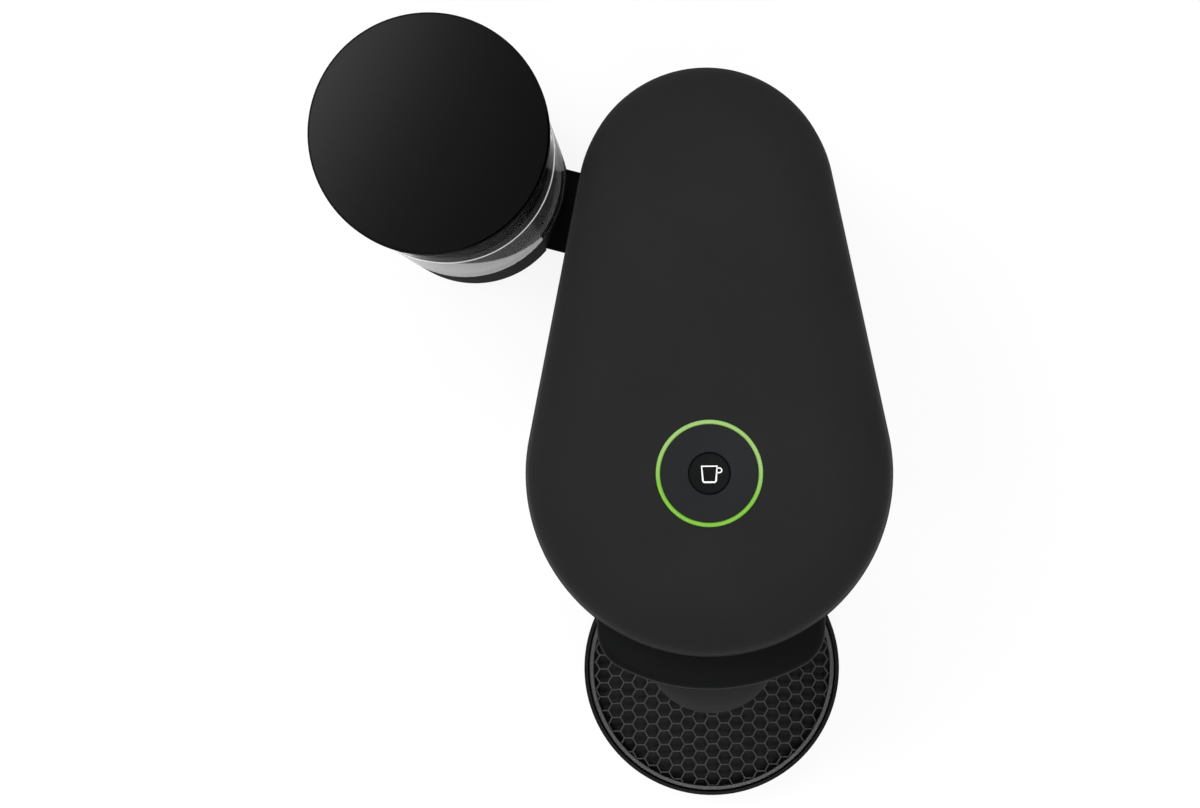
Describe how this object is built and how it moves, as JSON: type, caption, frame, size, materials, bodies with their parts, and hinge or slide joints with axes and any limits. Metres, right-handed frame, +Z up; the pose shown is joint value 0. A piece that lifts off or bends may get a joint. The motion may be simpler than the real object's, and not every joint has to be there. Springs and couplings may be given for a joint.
{
  "type": "pod coffee machine",
  "caption": "Pod coffee machine with a hinged rounded head, spinning pod clamp, swivelling clear water tank, pod bin and round drip tray.",
  "frame": {"origin": "on the table under the brew axis, at the middle of the front foot", "axes": "+X to the machine's right as seen by a user in front, +Y to the back, +Z up"},
  "size_m": [0.2222, 0.32, 0.3203],
  "materials": {
    "head_plastic": "fine satin texture",
    "housing_plastic": "fine satin texture",
    "lever_plastic": "satin",
    "tray_plastic": "satin",
    "arm_plastic": "satin black",
    "lid_plastic": "smooth satin black",
    "clear_plastic": "clear moulded plastic",
    "disc_plastic": "smooth black",
    "light_guide": "milky light guide, lit green",
    "steel": "bright steel",
    "rubber": "soft black",
    "pale_plastic": "moulded natural plastic",
    "board": "green circuit board",
    "alloy": "cast alloy"
  },
  "bodies": {
    "machine": {"brew_housing": "housing_plastic", "hinge_pin": "steel", "coffee_collector": "housing_plastic", "shaft_bearing": "steel", "spin_motor": "alloy", "coffee_spout": "housing_plastic", "column_shell": "housing_plastic", "cord_gland": "rubber", "base_plate": "arm_plastic", "rubber_feet": "rubber", "swivel_post": "steel", "water_pump": "alloy", "heater_block": "alloy", "flow_meter": "pale_plastic", "main_board": "board", "pressure_hose": "rubber", "base_screws": "steel"},
    "head": {"head_cover": "head_plastic", "head_frame": "housing_plastic", "head_screws": "steel", "light_ring": "light_guide", "button_disc": "disc_plastic", "button_board": "board", "button_switch": "pale_plastic", "button_spring": "steel", "lever_pin": "steel", "clamp_bearing": "steel", "water_nozzle": "pale_plastic"},
    "lever": {"lever": "lever_plastic"},
    "button": {"brew_button": "disc_plastic"},
    "clamp": {"pod_clamp": "pale_plastic", "clamp_clip": "steel"},
    "bowl": {"pod_bowl": "pale_plastic", "spin_shaft": "steel"},
    "tank_arm": {"tank_arm": "arm_plastic", "tank_glides": "rubber", "tank_cradle": "arm_plastic", "valve_seal": "rubber"},
    "tank": {"water_tank": "clear_plastic"},
    "tank_valve": {"tank_valve": "pale_plastic"},
    "tank_lid": {"tank_lid": "lid_plastic"},
    "bin": {"pod_bin": "housing_plastic"},
    "cup_support": {"cup_support": "tray_plastic"},
    "grid": {"drip_grid": "tray_plastic"}
  },
  "joints": [
    {"name": "head_hinge", "type": "hinge", "parent": "machine", "child": "head", "pos_m": [0, 0.1429, 0.27027], "axis": [-1, 0, 0], "range_deg": [0, 30]},
    {"name": "lever_pivot", "type": "hinge", "parent": "head", "child": "lever", "pos_m": [0, -0.048, 0.247], "axis": [1, 0, 0], "range_deg": [-4, 4], "stiffness_Nm_per_rad": 2},
    {"name": "button_press", "type": "slide", "parent": "head", "child": "button", "axis": [0, 0, -1], "range_m": [0, 0.0013], "stiffness_N_per_m": 300, "deforming": ["button_spring"]},
    {"name": "bowl_spin", "type": "hinge", "parent": "machine", "child": "bowl", "pos_m": [0, 0, 0.226], "axis": [0, 0, 1], "continuous": true},
    {"name": "clamp_spin", "type": "hinge", "parent": "head", "child": "clamp", "pos_m": [0, 0, 0.2406], "axis": [0, 0, 1], "continuous": true},
    {"name": "tank_swivel", "type": "hinge", "parent": "machine", "child": "tank_arm", "pos_m": [0, 0.102, 0.016], "axis": [0, 0, 1], "range_deg": [-150, 0]},
    {"name": "tank_lift", "type": "slide", "parent": "tank_arm", "child": "tank", "axis": [0, 0, 1], "range_m": [0, 0.08]},
    {"name": "valve_lift", "type": "slide", "parent": "tank", "child": "tank_valve", "axis": [0, 0, 1], "range_m": [0, 0.002], "stiffness_N_per_m": 60},
    {"name": "lid_lift", "type": "slide", "parent": "tank", "child": "tank_lid", "axis": [0, 0, 1], "range_m": [0, 0.03]},
    {"name": "bin_draw", "type": "slide", "parent": "machine", "child": "bin", "axis": [0, -1, 0], "range_m": [0, 0.13]},
    {"name": "cup_height", "type": "slide", "parent": "bin", "child": "cup_support", "axis": [0, 0, 1], "range_m": [0, 0.06]},
    {"name": "grid_lift", "type": "slide", "parent": "cup_support", "child": "grid", "axis": [0, 0, 1], "range_m": [0, 0.02]}
  ],
  "couplings": [
    {"joint": "clamp_spin", "follows": "bowl_spin", "ratio": 1}
  ]
}
